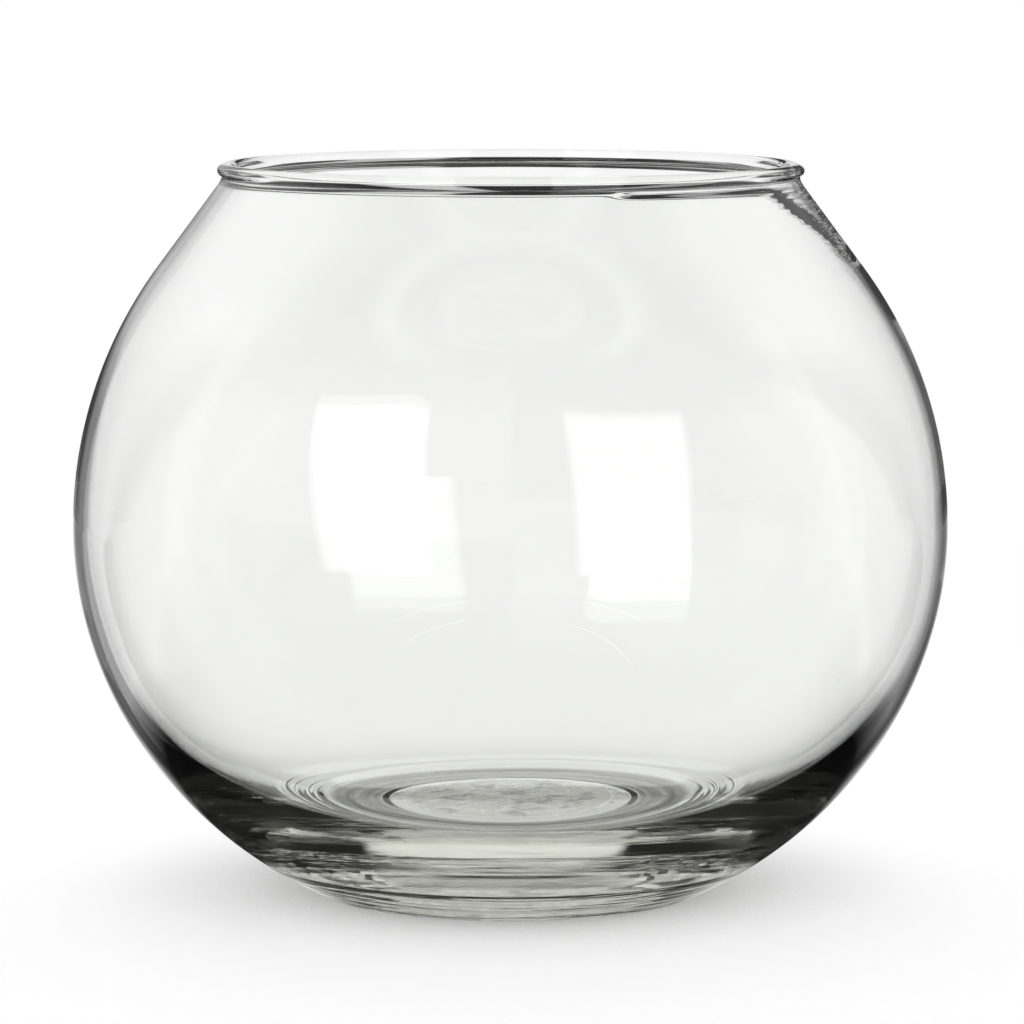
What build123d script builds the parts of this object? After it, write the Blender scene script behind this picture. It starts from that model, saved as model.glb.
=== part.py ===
"""Rose bowl vase: one piece of clear soda-lime glass, blown in a turned mould.

The bowl stands on a narrow ring round a shallow push-up. A heavy base carries a round body that swells to
its full width at about half height and draws in again, over a straight shoulder, to a wide mouth. The mouth
ends in a fire-polished lip, a round bead that is flush with the inside and stands out past the outside. The
glass is thick in the base, thins up the belly to the shoulder, and is one unbroken solid, so the whole form
is a single turned section.

Millimetres. +Z is up, and the origin is the middle of the circle that the bowl stands on.
"""
import math
import os

from build123d import *

# Driving dimensions: the outside of the bowl
overall_height = 127.0
body_diameter = 152.4
equator_height = 63.9
rim_diameter = 101.6
foot_diameter = 68.4
shoulder_straightness = 0.056
neck_round = 0.5

# Driving dimensions: the glass
shoulder_wall = 1.65
belly_wall = 2.2
base_thickness = 11.3
floor_diameter = 60.0

# Driving dimensions: the underside
push_up_diameter = 46.0
push_up_depth = 2.0
push_up_step = 0.9
push_up_slope = 1.2
push_up_edge_round = 0.9
foot_edge_round = 2.0

# Radii that the section is drawn with. The lip is a bead twice as thick as the shoulder.
body_radius = body_diameter / 2
inside_radius = body_radius - belly_wall
foot_radius = foot_diameter / 2
floor_radius = floor_diameter / 2
push_up_radius = push_up_diameter / 2
lip_radius = shoulder_wall
lip_centre = Vector(rim_diameter / 2 - lip_radius, overall_height - lip_radius)
lip_over = lip_centre.Y - equator_height

# Below the equator the outside is an ellipse that ends at the foot. Above it, another ellipse stops a little
# short of the lip, and the last of the shoulder is the straight tangent from there to the middle of the bead.
# Heights marked "over" are counted from the equator, where both walls stand upright.
foot_drop = equator_height / math.sqrt(1 - (foot_radius / body_radius) ** 2)
foot_angle = -math.asin(equator_height / foot_drop)
full_rise = lip_over / math.sqrt(1 - (lip_centre.X / body_radius) ** 2)
shoulder_rise = full_rise * (1 - shoulder_straightness)
reach = math.hypot(lip_centre.X / body_radius, lip_over / shoulder_rise)
shoulder_angle = math.atan2(lip_over / shoulder_rise, lip_centre.X / body_radius) - math.acos(1 / reach)

# How far the straight shoulder leans in for each millimetre up, and its two directions
shoulder_radius = body_radius * math.cos(shoulder_angle)
shoulder_over = shoulder_rise * math.sin(shoulder_angle)
lean = (shoulder_radius - lip_centre.X) / (lip_over - shoulder_over)
slant = math.hypot(1, lean)
out_of_wall = Vector(1 / slant, lean / slant)
up_the_wall = Vector(-lean / slant, 1 / slant)

# The inside runs parallel to the shoulder, one wall away, and then on the ellipse that this line touches.
# On the line, radius + lean * height over the equator is the same everywhere.
inside_line = lip_centre.X + lean * lip_over - shoulder_wall * slant
inside_rise = math.sqrt(inside_line**2 - inside_radius**2) / lean
inside_angle = math.atan2(lean * inside_rise, inside_radius)

# A hollow neck touches the outside of the shoulder and the bead. The inside of the shoulder touches the bead.
neck_back = math.sqrt((neck_round + lip_radius) ** 2 - neck_round**2)
neck_centre = lip_centre + out_of_wall * neck_round - up_the_wall * neck_back
neck_start = neck_centre - out_of_wall * neck_round
neck_end = lip_centre + (neck_centre - lip_centre).normalized() * lip_radius
lip_top = lip_centre + Vector(0, lip_radius)
lip_inside = lip_centre - out_of_wall * lip_radius

underside_middle = Vector(0, push_up_depth)
step_top = Vector(push_up_radius - push_up_slope, push_up_step)
floor_middle = Vector(0, base_thickness)
QUARTER_TURN = math.pi / 2


def arc_from_equator(middle_radius, across, rise, angle):
    """Elliptical arc that leaves the equator upright, upwards for an angle over 0.

    Its ellipse is centred at middle_radius, with the half width across and the half height rise.
    """
    bend = math.tan(angle / 2)
    return Bezier(
        (middle_radius + across, equator_height),
        (middle_radius + across, equator_height + rise * bend),
        (middle_radius + across * math.cos(angle), equator_height + rise * math.sin(angle)),
        weights=[1, math.cos(angle / 2), 1],
    )


with BuildPart() as glass_bowl:
    with BuildSketch(Plane.XZ):
        with BuildLine():
            # Underside: the push-up's shallow dome and its step, then the ring that the bowl stands on
            dome = TangentArc(underside_middle, step_top, tangent=(1, 0))
            step = Line(dome @ 1, (push_up_radius, 0))
            Line(step @ 1, (foot_radius, 0))
            # Outside, from the foot over the equator to the shoulder
            arc_from_equator(0, body_radius, foot_drop, foot_angle)
            upper = arc_from_equator(0, body_radius, shoulder_rise, shoulder_angle)
            shoulder = Line(upper @ 1, neck_start)
            # The lip: hollow neck and round bead
            neck = TangentArc(shoulder @ 1, neck_end, tangent=shoulder % 1)
            bead = ThreePointArc(neck @ 1, lip_top, lip_inside)
            # Inside, from the lip down to the floor
            inner_upper = arc_from_equator(0, inside_radius, inside_rise, inside_angle)
            Line(bead @ 1, inner_upper @ 1)
            inner_lower = arc_from_equator(
                floor_radius, inside_radius - floor_radius, equator_height - base_thickness, -QUARTER_TURN
            )
            floor = Line(inner_lower @ 1, floor_middle)
            Line(floor @ 1, underside_middle)
        make_face()
    revolve(axis=Axis.Z)
    # The edges of the push-up's step and of the foot are melted round
    step_face = glass_bowl.faces().filter_by(GeomType.CONE).sort_by(Axis.Z)[0]
    fillet(step_face.edges().filter_by(GeomType.CIRCLE), push_up_edge_round)
    ring_face = glass_bowl.faces().filter_by(GeomType.PLANE).sort_by(Axis.Z)[0]
    fillet(ring_face.outer_wire().edges(), foot_edge_round)

glass_bowl.part.label = "glass_bowl"

os.makedirs("parts", exist_ok=True)
export_step(glass_bowl.part, "parts/glass_bowl.step")
print("glass", round(glass_bowl.part.volume / 1000, 1), "cm3")
print("shoulder leans", round(math.degrees(math.atan(lean)), 1), "degrees; outside rise", round(shoulder_rise, 1))
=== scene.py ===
# %% [markdown]
# # A rose bowl vase in clear glass
# A rose bowl is one piece of glass: a foot ring, a heavy base, a round belly, a straight shoulder and a
# melted lip. Glass has almost no colour of its own. What the eye sees is its shape, how thick it is, and the
# room that it bends and mirrors, so this lesson spends its time on the section, the unevenness of the wall,
# the finish of the surface and the light.

# %% Load the packed frame
import math

import bmesh
import bpy
from mathutils import Matrix, Vector, noise


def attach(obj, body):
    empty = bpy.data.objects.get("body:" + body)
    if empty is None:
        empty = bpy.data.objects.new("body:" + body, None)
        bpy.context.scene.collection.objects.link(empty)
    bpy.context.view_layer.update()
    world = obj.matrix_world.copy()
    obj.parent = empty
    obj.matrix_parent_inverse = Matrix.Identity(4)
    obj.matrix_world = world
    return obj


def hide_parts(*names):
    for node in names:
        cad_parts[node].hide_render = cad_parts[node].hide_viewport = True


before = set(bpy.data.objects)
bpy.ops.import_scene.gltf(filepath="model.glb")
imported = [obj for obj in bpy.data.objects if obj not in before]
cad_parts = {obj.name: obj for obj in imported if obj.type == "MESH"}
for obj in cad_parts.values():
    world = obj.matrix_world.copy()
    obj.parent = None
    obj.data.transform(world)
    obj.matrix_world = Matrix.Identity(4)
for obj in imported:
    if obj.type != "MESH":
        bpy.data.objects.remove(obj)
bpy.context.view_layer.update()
scene = bpy.context.scene
MM = 0.001

# %% [markdown]
# ## The section
# The bowl is turned, so half of its section says everything. It could be drawn by hand as a curve, but every
# stretch of it is a plain ellipse, circle or line, so the sizes below and a little geometry give each point
# exactly where the solid has it. Sizes are in millimetres, and points are (radius, height).

# %% Sizes of the outside and of the glass
# STRAIGHTNESS lowers the upper ellipse by that share, so that the last of the shoulder is a straight line
BODY_RADIUS = 76.2
RIM_RADIUS = 50.8
FOOT_RADIUS = 34.2
HEIGHT = 127.0
EQUATOR = 63.9
STRAIGHTNESS = 0.056
FOOT_EDGE_ROUND = 2.0
SHOULDER_WALL = 1.65
BELLY_WALL = 2.2
BASE = 11.3
FLOOR_RADIUS = 30.0
INSIDE_RADIUS = BODY_RADIUS - BELLY_WALL
print("inside", 2 * INSIDE_RADIUS, "mm across at the belly, floor", 2 * FLOOR_RADIUS, "mm")

# %% Sizes of the underside and of the lip
# LIP_SUNK makes the bead an oval, and LIP_START is the angle in degrees where it leaves the neck
PUSH_UP_RADIUS = 23.0
PUSH_UP_DEPTH = 2.0
PUSH_UP_STEP = 0.9
PUSH_UP_SLOPE = 1.2
PUSH_UP_EDGE_ROUND = 0.9
LIP_RADIUS = SHOULDER_WALL
LIP_SUNK = 0.4
LIP_START = -50
NECK_LENGTH = 2.9
print("standing ring", round(FOOT_RADIUS - PUSH_UP_RADIUS, 1), "mm wide, lip", 2 * LIP_RADIUS, "mm thick")


# %% Arcs, straight runs, rounded corners and hollows
def ellipse(middle, across, rise, start, stop, steps):
    """Points of an elliptical arc; the angles are in degrees, counted from the outward side."""
    turns = [math.radians(start + (stop - start) * k / steps) for k in range(steps + 1)]
    return [Vector((middle[0] + across * math.cos(a), middle[1] + rise * math.sin(a))) for a in turns]


def straight(start, stop, steps):
    """Points of a straight run, with both ends."""
    return [Vector(start).lerp(Vector(stop), k / steps) for k in range(steps + 1)]


def rounded(before, corner, after, radius, steps):
    """Points of the arc that rounds a corner between two neighbouring points."""
    back, on = (before - corner).normalized(), (after - corner).normalized()
    half = back.angle(on) / 2
    middle = corner + (back + on).normalized() * (radius / math.sin(half))
    first = corner + back * (radius / math.tan(half)) - middle
    last = corner + on * (radius / math.tan(half)) - middle
    turns = [first.lerp(last, k / steps).normalized() * radius for k in range(steps + 1)]
    return [middle + turn for turn in turns]


def hollow(start, start_way, stop, stop_way, steps):
    """Points between two ends of a hollow curve that leaves and arrives in the given directions."""
    turn = start_way.x * stop_way.y - start_way.y * stop_way.x
    gap = stop - start
    corner = start + start_way * ((gap.x * stop_way.y - gap.y * stop_way.x) / turn)
    parts = [k / steps for k in range(1, steps)]
    return [start.lerp(corner, t).lerp(corner.lerp(stop, t), t) for t in parts]


print("a quarter arc in 4 steps:", [tuple(round(v, 2) for v in p) for p in ellipse((0, 0), 1, 1, 0, 90, 4)])

# %% [markdown]
# ## The shoulder and the lip
# A cut rim is sharp, so the maker melts it, and the glass draws up into a bead that is a little flatter than
# round. Just under it the wall is pinched to a hollow neck. The bead could be a circle set on the wall, but
# the dark bands in a glass rim show every change of direction, so it is an oval that runs into the neck, and
# the neck into the straight shoulder, without a corner.

# %% The shoulder's lean: the line from the lip's middle that touches the upper ellipse
lip = Vector((RIM_RADIUS - LIP_RADIUS, HEIGHT - LIP_RADIUS))
lip_over = lip.y - EQUATOR
foot_drop = EQUATOR / math.sqrt(1 - (FOOT_RADIUS / BODY_RADIUS) ** 2)
rise = lip_over / math.sqrt(1 - (lip.x / BODY_RADIUS) ** 2) * (1 - STRAIGHTNESS)
reach = math.hypot(lip.x / BODY_RADIUS, lip_over / rise)
turn = math.atan2(lip_over / rise, lip.x / BODY_RADIUS) - math.acos(1 / reach)
lean = (BODY_RADIUS * math.cos(turn) - lip.x) / (lip_over - rise * math.sin(turn))
slope = math.atan(lean)
upward = Vector((-math.sin(slope), math.cos(slope)))
print("shoulder leans", round(math.degrees(slope), 1), "degrees")

# %% The inner ellipse, one wall inside the shoulder, and the lip's oval
inside_line = lip.x + lean * lip_over - SHOULDER_WALL / math.cos(slope)
inside_rise = math.sqrt(inside_line**2 - INSIDE_RADIUS**2) / lean
inside_turn = math.degrees(math.atan2(lean * inside_rise, INSIDE_RADIUS))
bead = lip + Vector((0, LIP_SUNK))
bead_rise = LIP_RADIUS - LIP_SUNK
flatness = bead_rise / LIP_RADIUS
# The oval ends inside a little before it runs along the shoulder, which leaves a faint edge there
lip_end = 180 + math.degrees(math.atan(lean / flatness)) * flatness**2
print("lip", round(flatness, 2), "as tall as wide; it closes at", round(lip_end, 1), "degrees")

# %% How many rings each stretch gets: close where the base bends light most, wide on the belly
RINGS = {
    "dome": 40, "step edge": 3, "standing ring": 6, "foot edge": 4, "low side": 54, "belly": 34,
    "upper": 36, "shoulder": 12, "neck": 10, "lip": 26,
    "inner shoulder": 44, "inner upper": 34, "inner lower": 60, "floor": 40,
}
LOW_SIDE = 17
# The rounded foot takes the first degrees of the lower ellipse, and both edges a tenth of the standing ring
FOOT_EDGE_TURN = 0.8
FLAT_FROM, FLAT_TO = 0.1, 0.9
print("about", sum(RINGS.values()), "rings, closest below", LOW_SIDE, "mm")


# %% The outside and the inside of the section
def outside_section():
    """Points from the middle of the underside, over the foot and the belly, to the end of the lip."""
    dome = PUSH_UP_DEPTH - PUSH_UP_STEP
    step_top = Vector((PUSH_UP_RADIUS - PUSH_UP_SLOPE, PUSH_UP_STEP))
    step_foot = Vector((PUSH_UP_RADIUS, 0))
    edge = Vector((FOOT_RADIUS, 0))
    flat = step_foot.lerp(edge, FLAT_FROM), step_foot.lerp(edge, FLAT_TO)
    foot_turn = -math.degrees(math.asin(EQUATOR / foot_drop))
    low_turn = -math.degrees(math.asin((EQUATOR - LOW_SIDE) / foot_drop))
    middle = (0, EQUATOR)
    side = ellipse(middle, BODY_RADIUS, foot_drop, foot_turn + FOOT_EDGE_TURN, low_turn, RINGS["low side"])
    radii = [step_top.x * k / RINGS["dome"] for k in range(RINGS["dome"])]
    points = [Vector((r, PUSH_UP_DEPTH - dome * (r / step_top.x) ** 2)) for r in radii]
    points += rounded(points[-1], step_top, step_foot, PUSH_UP_EDGE_ROUND, RINGS["step edge"])
    points += rounded(step_top, step_foot, edge, PUSH_UP_EDGE_ROUND, RINGS["step edge"])
    points += straight(*flat, RINGS["standing ring"])
    points += rounded(step_foot, edge, side[0], FOOT_EDGE_ROUND, RINGS["foot edge"])
    points += side
    points += ellipse(middle, BODY_RADIUS, foot_drop, low_turn, 0, RINGS["belly"])[1:]
    points += ellipse(middle, BODY_RADIUS, rise, 0, math.degrees(turn), RINGS["upper"])[1:]
    points += straight(points[-1], lip - upward * NECK_LENGTH, RINGS["shoulder"])[1:]
    oval = ellipse(bead, LIP_RADIUS, bead_rise, LIP_START, lip_end, RINGS["lip"])
    points += hollow(points[-1], upward, oval[0], oval[1] - oval[0], RINGS["neck"])
    return points + oval


def inside_section():
    """Points from the end of the lip, down the shoulder and the belly, to the middle of the floor."""
    lip_inside = ellipse(bead, LIP_RADIUS, bead_rise, lip_end, lip_end, 1)[0]
    upper = ellipse((0, EQUATOR), INSIDE_RADIUS, inside_rise, inside_turn, 0, RINGS["inner upper"])
    across, drop = INSIDE_RADIUS - FLOOR_RADIUS, EQUATOR - BASE
    points = straight(lip_inside, upper[0], RINGS["inner shoulder"]) + upper[1:]
    points += ellipse((FLOOR_RADIUS, EQUATOR), across, drop, 0, -90, RINGS["inner lower"])[1:]
    return points + straight(points[-1], (0, BASE), RINGS["floor"])[1:]


print("outside", len(outside_section()), "points, inside", len(inside_section()))

# %% [markdown]
# ## Turning the glass
# The two halves are spun in turn. The inside goes first, alone, because most of the unevenness of a blown
# bowl is there: the mould makes the outside true, while the air that blows the bubble leaves the wall thicker
# on one side, a wrinkled patch under the lip where the tool held it, and shallow rings on the floor. Once it
# has been pushed about, the outside is spun, the lower side and the underside get the fine marks that the
# mould and the grinding left, and the two are merged along the lip. Sculpting could do the same by hand, but
# sums of smooth steps and noise come out alike on every run.

# %% Smooth steps, bumps, and one turn round the axis
STEPS = 228


def fade(value, low, high):
    """0 below low, 1 above high, smooth between."""
    t = min(max((value - low) / (high - low), 0), 1)
    return t * t * (3 - 2 * t)


def ridge(value, middle, width):
    """A smooth bump of height 1 round a middle."""
    return math.exp(-(((value - middle) / width) ** 2))


def spin_section(mesh, points):
    """Add a chain of edges through the points and turn it once round the bowl's axis."""
    chain = [mesh.verts.new((p.x * MM, 0, p.y * MM)) for p in points]
    edges = [mesh.edges.new(pair) for pair in zip(chain, chain[1:])]
    whole_turn = {"cent": (0, 0, 0), "axis": (0, 0, 1), "angle": 2 * math.pi, "steps": STEPS}
    bmesh.ops.spin(mesh, geom=chain + edges, use_merge=True, **whole_turn)
    print(len(points), "rings of", STEPS, "steps")


print("a step from 2 to 4 is", fade(2.5, 2, 4), "at 2.5 and", fade(3.5, 2, 4), "at 3.5")

# %% The inside: a wall thicker on one side, slow waves, the held patch and the floor's crown
THICKER_SIDE = 0.35
SLOW_WAVES = 0.10
HELD_DENT = 0.45
WRINKLES = 0.04
FINE_WRINKLES = 0.03
WRINKLE_PITCH = 6.5
FLOOR_CROWN = 0.16
FLOOR_RING = 0.03


def inside_push(place):
    """How far a point of the inside stands away from true, in millimetres."""
    x, y, z = place
    radius = math.hypot(x, y)
    around = math.degrees(math.atan2(y, x))
    out = Vector((x, y, 0)).normalized()
    sideways = THICKER_SIDE * fade(z, 20, 50) * (1 - fade(z, 70, 100))
    wave = SLOW_WAVES * noise.noise(place / 34) * fade(z, 18, 40) * (1 - fade(z, 110, 122))
    # The held patch is at the right, widest under the lip, with a ragged border
    reach = 10 + 16 * fade(z, 111, 123) + 2 * math.sin(z * WRINKLE_PITCH)
    held = (1 - fade(abs(around + 2), reach - 4, reach + 2)) * fade(z, 109, 113) * (1 - fade(z, 122, 124))
    wrinkle = WRINKLES * math.sin(z * WRINKLE_PITCH + 1.5 * noise.noise(place / 4))
    wrinkle = wrinkle + FINE_WRINKLES * noise.noise(place / 1.6)
    # The floor rises to the middle, has a low ring at its edge, and is uneven
    crown = FLOOR_CROWN * (1 - fade(radius, 22, 31)) + FLOOR_RING * ridge(radius, 32.6, 0.8)
    crown = crown * (1 + 0.25 * noise.noise(place / 16)) + 0.02 * noise.noise(place / 7)
    crown = crown * (1 - fade(z, 12.5, 16))
    return Vector((sideways, 0, 0)) + out * (wave - held * (HELD_DENT + wrinkle)) + Vector((0, 0, crown))


print("floor's crown", round(inside_push(Vector((0, 0, BASE))).z, 2), "mm")

# %% The outside: lines round the lower side, lumps on the lip, the filled neck and the ground push-up
MOULD_LINES = 0.022
LIP_LUMPS = 0.34
NECK_FILLED = 0.28
GROUND_GRAIN = 0.06
GROUND_HOLLOWS = 0.10
GROOVE_DEPTH = 0.10
GROOVE_RADIUS = 18


def outside_push(place):
    """How far a point of the outside stands away from true, in millimetres."""
    x, y, z = place
    radius = math.hypot(x, y)
    around = math.degrees(math.atan2(y, x))
    out = Vector((x, y, 0)).normalized()
    slow = Vector((x, y, 0)) / 30
    on_lip = fade(radius, 48.2, 49.2)
    # Lines that change quickly with height and slowly round the bowl
    lines = noise.noise(slow + Vector((0, 0, z / 0.9)))
    lines = lines + 0.5 * noise.noise(slow * 2 + Vector((7, 0, z / 0.45)))
    lines = MOULD_LINES * lines * fade(z, 0.4, 1.5) * (1 - 0.6 * fade(z, 5, 9)) * (1 - fade(z, 12, 17))
    # The lip is lumpy at the right, and the hollow under it is filled at the front right
    lumps = LIP_LUMPS * noise.noise(place / 2.4) * (1 - fade(abs(around), 9, 22)) * fade(z, 123.6, 124.6)
    lumps = lumps * (1 - fade(z, 126.2, 126.9)) * on_lip
    filled = fade(around, -72, -66) * (1 - fade(around, -14, 4)) * ridge(z, 123.9, 0.6) * on_lip
    # The push-up is ground, with a groove near the border of the disc
    ground = (1 - fade(radius, 20, 21.6)) * (1 - fade(z, 2.2, 2.6))
    groove = ridge(radius, GROOVE_RADIUS + 0.8 * noise.noise(slow * 6), 0.6)
    grain = GROUND_GRAIN * noise.noise(place / 1.1) + GROUND_HOLLOWS * noise.noise(place / 4)
    grain = grain - GROOVE_DEPTH * groove
    return out * (lines + lumps + NECK_FILLED * filled) + Vector((0, 0, ground * grain))


deepest = outside_push(Vector((GROOVE_RADIUS, 0, PUSH_UP_STEP))).z
print("groove in the push-up", round(deepest, 2), "mm")

# %% Spin the inside and the outside
MERGE_WITHIN = 0.0005 * MM
bowl_mesh = bmesh.new()
spin_section(bowl_mesh, inside_section())
inside_verts = set(bowl_mesh.verts)
for vert in inside_verts:
    vert.co += inside_push(vert.co / MM) * MM
spin_section(bowl_mesh, outside_section())
for vert in set(bowl_mesh.verts) - inside_verts:
    vert.co += outside_push(vert.co / MM) * MM
bmesh.ops.remove_doubles(bowl_mesh, verts=bowl_mesh.verts, dist=MERGE_WITHIN)
bmesh.ops.recalc_face_normals(bowl_mesh, faces=bowl_mesh.faces)
open_edges = [edge for edge in bowl_mesh.edges if not edge.is_manifold]
print("glass", round(bowl_mesh.calc_volume() / MM**3 / 1000, 1), "cm3;", len(open_edges), "open edges")

# %% [markdown]
# ## Seeds
# Melted glass holds a few tiny bubbles, which makers call seeds. They could be separate pieces, but a bubble
# is only a surface of the same glass that faces inwards, so each is a small ball in the same mesh with its
# faces reversed. The wall was drawn up while it was soft, so they are taller than wide.

# %% Small bubbles in the wall: degrees round the bowl, height and radius
SEEDS = [
    (-140, 43.7, 0.10), (-41.5, 43.7, 0.10), (-84, 26, 0.08),
    (-110, 98, 0.07), (62, 51, 0.09), (128, 82, 0.08),
]
SEED_DEPTH = 0.9
SEED_STRETCH = 1.5
stretch = Matrix.Diagonal((1, 1, SEED_STRETCH, 1))
for around, height, size in SEEDS:
    a = math.radians(around)
    level = (height - EQUATOR) / (rise if height > EQUATOR else foot_drop)
    radius = BODY_RADIUS * math.sqrt(1 - level**2) - SEED_DEPTH
    spot = Matrix.Translation(Vector((radius * math.cos(a), radius * math.sin(a), height)) * MM)
    made = bmesh.ops.create_icosphere(bowl_mesh, subdivisions=2, radius=size * MM, matrix=spot @ stretch)
    faces = {face for vert in made["verts"] for face in vert.link_faces}
    bmesh.ops.reverse_faces(bowl_mesh, faces=list(faces))
print(len(SEEDS), "seeds, the largest", 2 * max(size for _, _, size in SEEDS), "mm wide")

# %% The finished bowl stands for the packed solid
for face in bowl_mesh.faces:
    face.smooth = True
bowl_data = bpy.data.meshes.new("rose_bowl")
bowl_mesh.to_mesh(bowl_data)
bowl_mesh.free()
rose_bowl = bpy.data.objects.new("rose_bowl", bowl_data)
scene.collection.objects.link(rose_bowl)
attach(rose_bowl, "root")
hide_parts("glass_bowl")
triangles = sum(len(polygon.vertices) - 2 for polygon in bowl_data.polygons)
print("rose_bowl:", triangles, "triangles")

# %% [markdown]
# ## Writing shaders as sums
# A material is a graph of nodes, which is tedious to wire by hand. One small class stands for an output
# socket: sums and products of it add Math nodes, and its add method makes any other node. A mask such as
# 1 - frosted then reads as it would on paper.


# %% The Signal class
class Signal:
    """An output socket of a node tree. Sums and products of signals add Math nodes to the tree."""

    def __init__(self, socket):
        self.socket = socket

    @classmethod
    def add(cls, tree, kind, settings=None, sockets=None, output=0):
        """Add a node, with its settings first and then its sockets' values or links, and give one output."""
        node = tree.nodes.new("ShaderNode" + kind)
        for name, value in (settings or {}).items():
            setattr(node, name, value)
        for name, value in (sockets or {}).items():
            if isinstance(value, Signal):
                tree.links.new(value.socket, node.inputs[name])
            else:
                node.inputs[name].default_value = value
        return cls(node.outputs[output]) if node.outputs else None

    def out(self, name):
        """Another output of the same node."""
        return Signal(self.socket.node.outputs[name])

    def math(self, operation, *values, clamp=False, first=None):
        """A Math node on this signal; first stands before it where the order matters."""
        terms = ([] if first is None else [first]) + [self, *values]
        settings = {"operation": operation, "use_clamp": clamp}
        return Signal.add(self.socket.id_data, "Math", settings, dict(enumerate(terms)))

    def edge(self, soft):
        """0 where the signal is below 0 and 1 above it, blurred over a width."""
        return self.math("MULTIPLY_ADD", 1 / soft, 0.5, clamp=True)

    def __add__(self, other):
        return self.math("ADD", other)

    def __sub__(self, other):
        return self.math("SUBTRACT", other)

    def __rsub__(self, other):
        return self.math("SUBTRACT", first=other)

    def __mul__(self, other):
        return self.math("MULTIPLY", other)

    __radd__ = __add__
    __rmul__ = __mul__


print("a Signal can", [name for name in vars(Signal) if not name.startswith("_")])


# %% Helpers for a tree, and for what every material here asks: how far from the middle, which colour
def length(x, y):
    """Distance of a point from an axis, from its two coordinates."""
    return (x * x + y * y).math("SQRT")


def blank_tree(owner):
    """Empty node tree of a material or world."""
    owner.use_nodes = True
    owner.node_tree.nodes.clear()
    return owner.node_tree


def blend(tree, share, first, second):
    """A colour between two, by a share of the second."""
    return Signal.add(tree, "Mix", {"data_type": "RGBA"}, {0: share, 6: first, 7: second}, 2)


print("helpers:", [helper.__name__ for helper in (length, blank_tree, blend)])

# %% [markdown]
# ## Clear glass
# Soda-lime glass bends light by 1.52 and takes a little blue away over a long path, so it looks colourless in
# the wall and cream-grey in the base. The outside and the inside are fire-polished. The underside is not: the
# push-up is ground and shows as a pale, grainy disc, and the ring that the bowl stands on has scuffs from
# turning. One glass shader with a roughness could show both, but only as blur, so a matt one is mixed in
# where the surface is worn. The folds near the foot are finer than the mesh, so a bump makes them.

# %% Glass: where a point lies, and two noises
glass = bpy.data.materials.new("clear_glass")
tree = blank_tree(glass)
place = Signal.add(tree, "TexCoord", output="Object")
along = Signal.add(tree, "SeparateXYZ", sockets={0: place})
radius = length(along.out("X"), along.out("Y"))
z = along.out("Z")
grain = Signal.add(tree, "TexNoise", sockets={"Vector": place, "Scale": 900.0, "Detail": 4.0})
patches = Signal.add(tree, "TexNoise", sockets={"Vector": place, "Scale": 230.0, "Detail": 6.0})
print("places and noises:", len(tree.nodes), "nodes")

# %% Glass: the ground disc, with pale cracks, a pale border and dark pits
DISC_RADIUS = 18.8 * MM
DISC_TOP = 2.6 * MM
BORDER_RADIUS = 18.4 * MM
CRACKS_WITHIN = 17 * MM
RAGGED = 5.0 * MM
ragged = radius + (patches - 0.5) * RAGGED
frosted = (DISC_RADIUS - ragged).edge(0.5 * MM) * (DISC_TOP - z).edge(0.3 * MM)
cracks = (0.018 - (patches - 0.5).math("ABSOLUTE")).edge(0.03) * (CRACKS_WITHIN - ragged).edge(1 * MM)
border = (0.30 * MM - (ragged - BORDER_RADIUS).math("ABSOLUTE")).edge(0.3 * MM)
pits = (patches - 0.60).edge(0.05) * (grain - 0.45).edge(0.1)
print("ground disc:", len(tree.nodes), "nodes")

# %% Glass: turned scuffs on the ring that it stands on
RING_FROM, RING_TO = 23.4 * MM, 30.5 * MM
RING_TOP = 0.3 * MM
SCUFFS_PER_METRE = 450.0
turned = Signal.add(tree, "TexNoise", {"noise_dimensions": "1D"}, {
    "W": radius * SCUFFS_PER_METRE, "Scale": 1.0, "Detail": 1.0,
})
standing = (RING_TO - radius).edge(1.5 * MM) * (radius - RING_FROM).edge(0.6 * MM)
standing = standing * (RING_TOP - z).edge(0.2 * MM)
scuffed = standing * (turned - 0.45).edge(0.3)
print("scuffs:", len(tree.nodes), "nodes")


# %% Glass: streaks on the lower side, folds and creases near the foot
def drawn_round(stretch, detail):
    """Noise that is long round the bowl and short in height."""
    drawn = Signal.add(tree, "VectorMath", {"operation": "MULTIPLY"}, {0: place, 1: stretch})
    return Signal.add(tree, "TexNoise", sockets={"Vector": drawn, "Scale": 1.0, "Detail": detail})


STREAK_HEIGHT = 0.035 * MM
CREASE_HEIGHT = 0.10 * MM
FOLD_HEIGHT = 0.5 * MM
GRAIN_HEIGHT = 0.10 * MM
STREAKS_BELOW = 13 * MM
FOLDS_BELOW = 5.6 * MM
SIDE_FROM = 33 * MM
streaks = drawn_round((20, 20, 1700), 3.0)
folds = drawn_round((16, 16, 620), 1.0)
creases = (0.03 - (folds - 0.5).math("ABSOLUTE")).edge(0.06)
lower = (STREAKS_BELOW - z).edge(6 * MM) * (radius - SIDE_FROM).edge(2 * MM)
near_foot = (FOLDS_BELOW - z).edge(1.4 * MM)
relief = streaks * STREAK_HEIGHT + near_foot * (creases * CREASE_HEIGHT + folds * FOLD_HEIGHT)
relief = relief * lower + grain * frosted * GRAIN_HEIGHT
bump = Signal.add(tree, "Bump", sockets={"Height": relief, "Distance": 1.0, "Strength": 1.0})
print("relief:", len(tree.nodes), "nodes")

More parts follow.
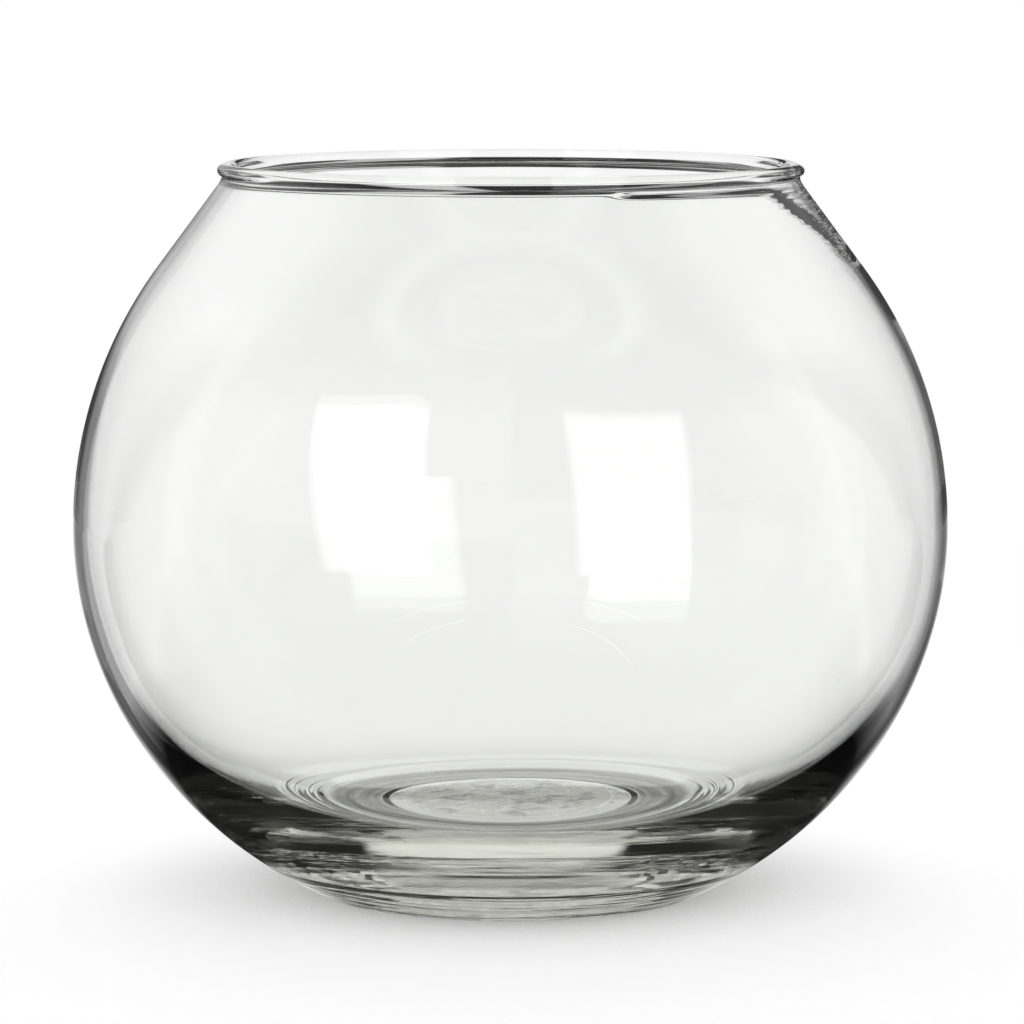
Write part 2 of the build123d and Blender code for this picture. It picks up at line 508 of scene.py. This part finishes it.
# %% Glass: the clear shader, and a matt one where it is ground or scuffed
FROSTED_GREY = (0.66, 0.655, 0.63, 1)
CRACK_WHITE = (0.97, 0.96, 0.93, 1)
PIT_GREY = (0.22, 0.22, 0.21, 1)
SCUFF_GREY = (0.16, 0.16, 0.15, 1)
clear = Signal.add(tree, "BsdfPrincipled", sockets={
    "Base Color": (0.99, 0.995, 0.99, 1),
    "Roughness": frosted * (0.35 + 0.5 * patches) + 0.08 * scuffed,
    "IOR": 1.52,
    "Transmission Weight": 1.0,
    "Normal": bump,
})
worn = blend(tree, cracks.math("MAXIMUM", border), FROSTED_GREY, CRACK_WHITE)
worn = blend(tree, pits * 0.8, worn, PIT_GREY)
worn = blend(tree, scuffed, worn, SCUFF_GREY)
matt = Signal.add(tree, "BsdfPrincipled", sockets={"Base Color": worn, "Roughness": 0.9, "Normal": bump})
share = frosted * (0.45 + 0.5 * patches) + 0.4 * scuffed
surface = Signal.add(tree, "MixShader", sockets={0: share, 1: clear, 2: matt})
absorb = Signal.add(tree, "VolumeAbsorption", sockets={"Color": (0.89, 0.90, 0.80, 1), "Density": 8.0})
Signal.add(tree, "OutputMaterial", sockets={"Surface": surface, "Volume": absorb})
bowl_data.materials.append(glass)
print("glass material:", len(tree.nodes), "nodes")

# %% [markdown]
# ## The camera
# The photograph was taken with a long lens a little above the rim, so both rims of the mouth show as narrow
# ovals. A camera could be set by eye, but here its distance, height and lens were fitted to the outline, so
# the render and the photograph can be laid over each other.

# %% Camera
DISTANCE = 0.9
ELEVATION = math.radians(6.767)
PIVOT_HEIGHT = 0.065
camera_data = bpy.data.cameras.new("camera")
camera = bpy.data.objects.new("camera", camera_data)
scene.collection.objects.link(camera)
camera_data.sensor_width = 36
camera_data.lens = 181.0
camera_data.clip_end = 50
camera.location = (0, -DISTANCE * math.cos(ELEVATION), PIVOT_HEIGHT + DISTANCE * math.sin(ELEVATION))
target = Vector((0.00028, 0, 0.06592))
camera.rotation_euler = (target - camera.location).to_track_quat("-Z", "Y").to_euler()
scene.camera = camera
print("camera", round((camera.location - target).length, 3), "m away, lens", camera_data.lens, "mm")

# %% [markdown]
# ## What the glass mirrors
# Clear glass shows a studio twice: straight through, where the white backdrop is, and mirrored in both faces
# of the wall. The dark outline of the bowl is the gap between the backdrop and the pale walls at the sides,
# so the brightness of the room depends on the angle from straight behind. Cards and lamps would do it too,
# but they would stand in the other views, so the room is a formula that the floor and the world share.

# %% Brightness of the room: changes, each with its angle from straight behind and its softness in degrees
DEGREES = 180 / math.pi
BEHIND_LEVEL = 0.06
LEFT_WALL = [(0.20, 20.5, 3), (0.56, 30.5, 3), (-0.05, 47, 8), (-0.61, 95, 50)]
RIGHT_WALL = [(0.30, 23.5, 4), (0.30, 30, 5), (0.02, 42, 10), (-0.52, 95, 50)]
LEFT_STRIP = (0.20, 78, 88)
RIGHT_STRIP = (0.25, 81, 91)


def side_wall(away, changes, strip):
    """How bright one side of the room is, with one upright strip, by the angle towards that side."""
    level, start, stop = strip
    wall = level * (away - start).edge(3) * (stop - away).edge(4)
    for change, angle, soft in changes:
        wall = wall + change * (away - angle).edge(soft)
    return wall


def surroundings(angle):
    """How bright the room is, by the angle in degrees to the right of straight behind the bowl."""
    left = side_wall(-1 * angle, LEFT_WALL, LEFT_STRIP)
    return BEHIND_LEVEL + left + side_wall(angle, RIGHT_WALL, RIGHT_STRIP)


for name, changes in (("left", LEFT_WALL), ("right", RIGHT_WALL)):
    print(name, "wall: brightest", round(BEHIND_LEVEL + sum(c[0] for c in changes if c[0] > 0), 2))


# %% How a ray came to see the room
def path_kinds(tree):
    """How a ray came: the Light Path, never scattered, and mirrored once, twice, often and many times."""
    path = Signal.add(tree, "LightPath")
    direct = 1 - path.out("Diffuse Depth").math("MINIMUM", 1.0)
    mirrored = path.out("Glossy Depth")
    once = mirrored.math("MINIMUM", 1.0) * direct
    twice = (mirrored - 1).math("ADD", 0.0, clamp=True) * direct
    many = (mirrored - 5).math("ADD", 0.0, clamp=True) * direct
    often = (mirrored - 3).math("ADD", 0.0, clamp=True) * direct - many
    return path, direct, once, twice, often, many


print("mirrored once is 1 time or more, twice 2 or more, often 4 or 5, many 6 or more")

# %% [markdown]
# ## Paper floor
# The bowl stands on white paper. Paper that is seen directly is white, with a painted soft shadow where the
# bowl touches it. Mirrored in the glass it is painted as bright as the room is there, and paper mirrored many
# times inside the base, which comes from far to the side where little light is, is painted dark. Light Path
# tells these apart. The painted shadow is worked out by ambient occlusion, because lamps through glass would
# give a hard and noisy one.

# %% The sheet of paper
PAPER_RADIUS = 0.6
PAPER_DROP = 0.05 * MM
floor_mesh = bmesh.new()
bmesh.ops.create_circle(floor_mesh, cap_ends=True, segments=128, radius=PAPER_RADIUS)
bmesh.ops.translate(floor_mesh, vec=(0, 0, -PAPER_DROP), verts=floor_mesh.verts)
floor_data = bpy.data.meshes.new("paper_floor")
floor_mesh.to_mesh(floor_data)
floor_mesh.free()
floor = bpy.data.objects.new("paper_floor", floor_data)
scene.collection.objects.link(floor)
print("paper:", len(floor_data.polygons), "face,", round(floor.dimensions.x, 2), "m across")

# %% Paper: where a point lies, in metres and in degrees from straight behind
paper = bpy.data.materials.new("paper")
tree = blank_tree(paper)
path, _, once, twice, _, many = path_kinds(tree)
along = Signal.add(tree, "SeparateXYZ", sockets={0: Signal.add(tree, "TexCoord", output="Object")})
x, y = along.out("X"), along.out("Y")
radius = length(x, y)
behind = x.math("ARCTAN2", y) * DEGREES
print("places on the paper:", len(tree.nodes), "nodes")

# %% Mirrored paper, painted light: once, as bright as the room beside the belly, and lit under the bowl
BELLY_REACH = 0.072
DIMMEST_SIDE = 0.18
UNDER_BOWL_RADIUS = 0.042
FAR_ASIDE = 0.11
past = (x.math("ABSOLUTE") - BELLY_REACH).math("MAXIMUM", 0.0)
angle = past.math("ARCTAN2", y) * DEGREES * x.math("SIGN")
centre = (10 - angle.math("ABSOLUTE")).edge(14)
sides = surroundings(angle).math("MAXIMUM", DIMMEST_SIDE)
front = (y * -20).math("ADD", 0.0, clamp=True)
clear_of_bowl = (length(past, y) - 0.05).edge(0.05)
# Painted light: paper near the bowl, seen mirrored once, is painted bright
painted_light_under_bowl = 0.9 * (UNDER_BOWL_RADIUS - radius).edge(0.008) * (y + 0.02).edge(0.02)
lit_once = clear_of_bowl * (centre + (1 - centre) * sides) + (1 - clear_of_bowl) * painted_light_under_bowl + 0.03 * front
aside = (radius - FAR_ASIDE).edge(0.06).math("MAXIMUM", many) * (behind.math("ABSOLUTE") - 14).edge(8)
lit_twice = path.out("Is Transmission Ray") * (1 - aside)
lit = 1 - once + (once - twice) * lit_once + twice * lit_twice
print("mirrored paper:", len(tree.nodes), "nodes")

# %% Paper: the painted shadow, soft to the camera and darkest between the foot and the paper
SHADOW_REACH = 0.030
SHADOW_DEPTH = 0.70
SHADOW_FALL = 3.2
leaning = Signal.add(tree, "CombineXYZ", sockets={"Y": -0.05, "Z": 1.0})
contact = Signal.add(tree, "AmbientOcclusion", {"samples": 4}, {
    "Distance": SHADOW_REACH, "Normal": leaning,
}, "AO")
shadow = 1 - SHADOW_DEPTH * (1 - contact).math("POWER", SHADOW_FALL)
# Through the glass the paper gets painted shade: dark under the standing ring and paler under the push-up
painted_shade_under_foot = 0.30 + 0.70 * (radius - 33.5 * MM).edge(3 * MM) + 0.40 * (22 * MM - radius).edge(MM)
camera_ray = path.out("Is Camera Ray")
shade = camera_ray * shadow + (1 - camera_ray) * painted_shade_under_foot
print("shadow:", len(tree.nodes), "nodes")

# %% Paper: part matt and part glowing, so that it comes out white under the plain light
MATT_PART = 0.35
matt = Signal.add(tree, "BsdfDiffuse", sockets={"Color": (MATT_PART, MATT_PART, MATT_PART, 1)})
glow = Signal.add(tree, "Emission", sockets={"Strength": 1 - MATT_PART})
white = Signal.add(tree, "AddShader", sockets={0: matt, 1: glow})
# Painted shade: the paper is mixed towards a dark sheet by the painted shadow and the painted brightness of
# mirrored paper
painted_dark_sheet = Signal.add(tree, "BsdfDiffuse", sockets={"Color": (0.02, 0.02, 0.02, 1)})
sheet = Signal.add(tree, "MixShader", sockets={0: 1 - lit * shade, 1: white, 2: painted_dark_sheet})
Signal.add(tree, "OutputMaterial", sockets={"Surface": sheet})
floor_data.materials.append(paper)
print("paper material:", len(tree.nodes), "nodes")

# %% [markdown]
# ## The studio
# Two tall window-like boxes stand in front of the bowl, left and right, and show as white shapes on its
# belly. Behind it is a white backdrop that ends a little above it, and overhead is one soft light at a plain
# level. Area lamps could do this, but a world that is worked out from the direction needs no objects, and
# each kind of ray can be given what it saw in the real studio.

# %% Studio: directions in degrees, from straight in front, from straight behind and above level
world = bpy.data.worlds.new("studio")
scene.world = world
tree = blank_tree(world)
path, direct, once, twice, often, _ = path_kinds(tree)
through = path.out("Is Transmission Ray")
toward = Signal.add(tree, "SeparateXYZ", sockets={0: Signal.add(tree, "TexCoord", output="Generated")})
azimuth = toward.out("X").math("ARCTAN2", -1 * toward.out("Y")) * DEGREES
behind = toward.out("X").math("ARCTAN2", toward.out("Y")) * DEGREES
off_centre = behind.math("ABSOLUTE")
height = toward.out("Z").math("ARCSINE") * DEGREES
print("directions:", len(tree.nodes), "nodes")

# %% Studio: the two boxes; each factor is one straight edge
BOX_LEVEL = 1.6
left_box = (
    (azimuth + 0.297 * height + 50.5).edge(1)
    * (-22.0 - 0.07 * height - azimuth).edge(1)
    * (41.6 + 0.18 * azimuth - height).edge(1)
    * (25.8 - 0.35 * azimuth - height).edge(1)
    * (height + 6.8).edge(1)
)
right_box = (
    (azimuth + 0.04 * height - 16.9).edge(2)
    * (46.3 + 0.17 * height - azimuth).edge(2)
    * (36.4 - 0.125 * azimuth - height).edge(2)
    * (height + 4.2 + 0.15 * azimuth).edge(2)
)
front = toward.out("Y").math("MULTIPLY_ADD", -1.5, 0.5, clamp=True)
room = 0.008 + 0.02 * front + BOX_LEVEL * left_box + BOX_LEVEL * right_box
print("two boxes:", len(tree.nodes), "nodes")

# %% Studio, mirrored once: a pale gap straight behind, and the side walls, lighter higher up
gap = (8.5 - height).edge(1.5) + (height - 15).edge(3) * (28 - height).edge(6)
centre = gap * (7 - off_centre).edge(3)
upper_left = 0.62 * (height - 1).edge(5) * (-8 - behind).edge(4)
upper_right = 0.30 * (height - 7).edge(3) * (behind - 15).edge(4)
walls = surroundings(behind).math("MAXIMUM", upper_left).math("MAXIMUM", upper_right)
walls = walls * (height + 24).edge(6) * (45 - height).edge(30)
seen_once = centre + (1 - centre) * walls
print("mirrored once:", len(tree.nodes), "nodes")

# %% Studio, mirrored again: a narrow backdrop, and a broad one for rays that ran through the base
narrow = (11 - height).edge(2) * (10 - off_centre).edge(4)
broad = (48 - height).edge(8) * (20.8 - (behind - 2.9).math("ABSOLUTE")).edge(1.5)
seen_twice = 0.95 * through * ((1 - often) * narrow + often * broad)
reflected = room + (1 - twice) * seen_once + twice * seen_twice
print("mirrored again:", len(tree.nodes), "nodes")

# %% Studio, seen straight through: the backdrop, and dark above it but for two pale strips
PALE_STRIPS = [(0.50, -2.7, -0.9), (0.30, 2.9, 4.5)]
BACKDROP_TOP = 4
backdrop = (BACKDROP_TOP - height).edge(2)
pale = [glow * (behind - start).edge(0.3) * (stop - behind).edge(0.3) for glow, start, stop in PALE_STRIPS]
straight_on = 0.02 + 0.98 * backdrop + (1 - backdrop) * (pale[0] + pale[1])
print("straight through:", len(tree.nodes), "nodes")

# %% Studio: the overhead light for matt surfaces, and white for the camera
OVERHEAD_LEVEL = 5.32
# The overhead light leans a little to the back
lamp = 0.34 * toward.out("Y") + 0.94 * toward.out("Z")
overhead = lamp.math("MAXIMUM", 0.0).math("POWER", 8.0) * OVERHEAD_LEVEL
in_glass = path.out("Is Glossy Ray").math("MAXIMUM", through) * direct
through_glass = once * reflected + (1 - once) * straight_on
camera_ray = path.out("Is Camera Ray")
level = camera_ray + (1 - camera_ray) * (in_glass * through_glass + (1 - in_glass) * overhead)
light = Signal.add(tree, "Background", sockets={"Color": (1, 1, 1, 1), "Strength": level})
Signal.add(tree, "OutputWorld", sockets={"Surface": light})
print("studio:", len(tree.nodes), "nodes")

# %% Plain colours, and paths long enough for light that is mirrored many times in the base
scene.view_settings.view_transform = "Standard"
scene.cycles.blur_glossy = 0
scene.cycles.max_bounces = 20
scene.cycles.glossy_bounces = 14
scene.cycles.transmission_bounces = 14
print("up to", scene.cycles.max_bounces, "bounces")
